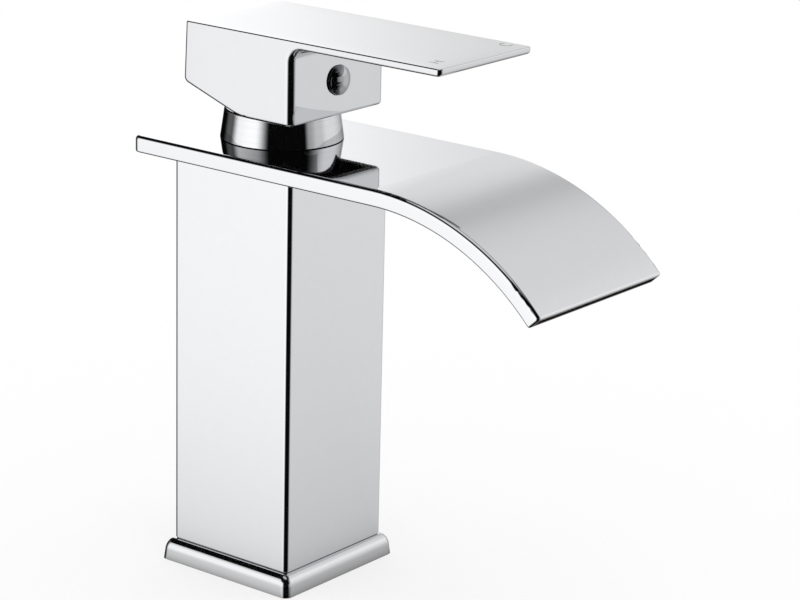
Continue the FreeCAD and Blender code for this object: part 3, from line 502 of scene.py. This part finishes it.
# ---- Studio ---------------------------------------------------------------------------------------
# White sweep under and behind the faucet. What its mirror faces show is the rest of the room: a white
# screen at the left, a grey one at the right, a bright wall behind, a pale ceiling, and the dark round
# the camera.
scene = bpy.context.scene
scene.view_settings.view_transform = "Standard"
camera_azimuth = -51.879
camera_elevation = 17.018
world = bpy.data.worlds.new("studio")
scene.world = world
world.use_nodes = True
sky = world.node_tree
sky.nodes.clear()
direction = place(sky, "TexCoord").outputs["Generated"]
parts = place(sky, "SeparateXYZ", {0: direction}).outputs
# Degrees round from the camera's own side, positive to its right, and degrees above the horizon.
bearing = math_node(sky, "ARCTAN2", parts[0], math_node(sky, "MULTIPLY", parts[1], -1.0))
bearing = math_node(sky, "MULTIPLY", bearing, 180 / math.pi)
heading = math_node(sky, "WRAP", math_node(sky, "SUBTRACT", bearing, camera_azimuth), 180.0, -180.0)
behind = math_node(sky, "WRAP", math_node(sky, "SUBTRACT", heading, 180.0), 180.0, -180.0)
rise = math_node(sky, "MULTIPLY", math_node(sky, "ARCSINE", parts[2]), 180 / math.pi)


def edge(value, start, end):
    """Soft edge: 0 at start, 1 at end."""
    return place(sky, "MapRange", {"Value": value, "From Min": start, "From Max": end},
                 interpolation_type="SMOOTHSTEP").outputs["Result"]


def panel(angle, left, right, bottom, top, brightness):
    """Light panel with four soft edges, each given as the degrees where it is 0 and where it is full."""
    sides = math_node(sky, "MULTIPLY", edge(angle, *left), edge(angle, *right))
    ends = math_node(sky, "MULTIPLY", edge(rise, *bottom), edge(rise, *top))
    return math_node(sky, "MULTIPLY", math_node(sky, "MULTIPLY", sides, ends), brightness)


panels = [
    panel(heading, (-109, -87), (-22, -50), (-66, -18), (37, 19), 0.94),
    panel(heading, (-96, -60), (-22, -50), (-66, -18), (37, 19), 0.13),
    panel(heading, (-136, -118), (-98, -112), (-54, -10), (37, 19), 0.10),
    panel(heading, (52, 98), (172, 116), (-60, -20), (62, 42), 0.73),
    panel(heading, (52, 98), (172, 116), (4, 14), (36, 22), 0.16),
    panel(heading, (45, 55), (86, 66), (-14, -6), (22, 12), 0.32),
    panel(behind, (-60, -22), (20, 6), (-60, -20), (62, 42), 0.19),
    panel(behind, (-60, -22), (20, 6), (20, 34), (62, 42), 0.24),
    panel(behind, (-22, -9), (20, 8), (-20, -6), (38, 20), 0.55),
    panel(behind, (-3, 5), (20, 8), (-20, -6), (38, 20), 0.38),
    panel(heading, (-181, -180), (181, 180), (56, 72), (95, 91), 0.6),
]
room = panels[0]
for other in panels[1:]:
    room = math_node(sky, "ADD", room, other)
# Each mirror face after the first dims the room again, because chromium takes some of the light.
mirror_share = 0.72
darkest = 0.002
room = math_node(sky, "ADD", room, darkest)
path = place(sky, "LightPath").outputs
again = math_node(sky, "SUBTRACT", path["Glossy Depth"], 1.0)
room = math_node(sky, "MULTIPLY", room, math_node(sky, "POWER", mirror_share, again))
seen = place(sky, "CombineColor", {0: room, 1: room, 2: room}).outputs[0]
lit = shade(sky, path["Is Glossy Ray"], (1.0, 1.0, 1.0, 1.0), seen)
background = place(sky, "Background", {"Color": shade(sky, path["Is Camera Ray"], lit, (1.0, 1.0, 1.0, 1.0))})
place(sky, "OutputWorld", {"Surface": background.outputs[0]})

floor_half = 3.0
foot_half = 0.0254        # m, from the column's middle to the flange's edge
# The faucet's shadow on the sweep, as the mirror faces see it, is painted in by the distance from the flange.
near_shadow_reach = 0.007        # m, of the narrow darkening round the foot, and of the wide one
wide_shadow_reach = 0.09
near_shadow_share = 0.4
wide_shadow_share = 0.25
lit_share = 0.3           # of the floor that takes the room's light and shadow, the rest glows
floor_mesh = bpy.data.meshes.new("floor")
floor_corners = np.array([(-1, -1, 0), (1, -1, 0), (1, 1, 0), (-1, 1, 0)]) * floor_half
floor_mesh.from_pydata(floor_corners.tolist(), [], [(0, 1, 2, 3)])
floor = bpy.data.objects.new("floor", floor_mesh)
scene.collection.objects.link(floor)
floor_white = bpy.data.materials.new("floor_white")
floor_white.use_nodes = True
tree = floor_white.node_tree
tree.nodes.clear()
matt = place(tree, "BsdfDiffuse", {"Color": (1, 1, 1, 1)})
glow = place(tree, "Emission", {"Color": (1, 1, 1, 1)})
sheet = place(tree, "MixShader", {0: lit_share, 1: glow.outputs[0], 2: matt.outputs[0]})
# In the mirror faces the sweep carries on as the room's own light, with the faucet's shadow painted in darker
# close to the foot.
spot = place(tree, "TexCoord").outputs["Object"]
unsigned = place(tree, "VectorMath", {0: spot}, operation="ABSOLUTE").outputs[0]
sides = place(tree, "SeparateXYZ", {0: unsigned}).outputs
away = math_node(tree, "SUBTRACT", math_node(tree, "MAXIMUM", sides[0], sides[1]), foot_half)
near_shadow_fade = math_node(tree, "EXPONENT", math_node(tree, "DIVIDE", away, -near_shadow_reach))
wide_shadow_fade = math_node(tree, "EXPONENT", math_node(tree, "DIVIDE", away, -wide_shadow_reach))
near = math_node(tree, "MULTIPLY", near_shadow_fade, near_shadow_share)
wide = math_node(tree, "MULTIPLY", wide_shadow_fade, wide_shadow_share)
unshadowed_share = math_node(tree, "SUBTRACT", math_node(tree, "SUBTRACT", 1.0, near), wide)
glossy = place(tree, "LightPath").outputs["Is Glossy Ray"]
through = place(tree, "BsdfTransparent", {"Color": unshadowed_share})
chosen = place(tree, "MixShader", {0: glossy, 1: sheet.outputs[0], 2: through.outputs[0]})
place(tree, "OutputMaterial", {"Surface": chosen.outputs[0]})
floor_mesh.materials.append(floor_white)


# ---- Camera ---------------------------------------------------------------------------------------
# A long lens close to the height of the faucet, turned to its hot side, as the photograph was taken.
camera_roll = 1.341
camera_place = Vector((-0.6504, -0.5561, 0.3448))
camera_focal_px = 2975.0
frame_width_px = 800.0
sensor_mm = 36.0
camera_data = bpy.data.cameras.new("camera")
camera_data.sensor_width = sensor_mm
camera_data.lens = camera_focal_px / frame_width_px * sensor_mm
camera_data.clip_start = 0.01
camera = bpy.data.objects.new("camera", camera_data)
scene.collection.objects.link(camera)
azimuth, elevation, roll = (math.radians(angle) for angle in (camera_azimuth, camera_elevation, camera_roll))
level = math.cos(elevation)
back = Vector((math.sin(azimuth) * level, -math.cos(azimuth) * level, math.sin(elevation)))
right = Vector((math.cos(azimuth), math.sin(azimuth), 0))
up = back.cross(right)
rolled_right = right * math.cos(roll) + up * math.sin(roll)
rolled_up = up * math.cos(roll) - right * math.sin(roll)
turned_camera = Matrix((rolled_right, rolled_up, back)).transposed().to_4x4()
camera.matrix_world = Matrix.Translation(camera_place) @ turned_camera
scene.camera = camera
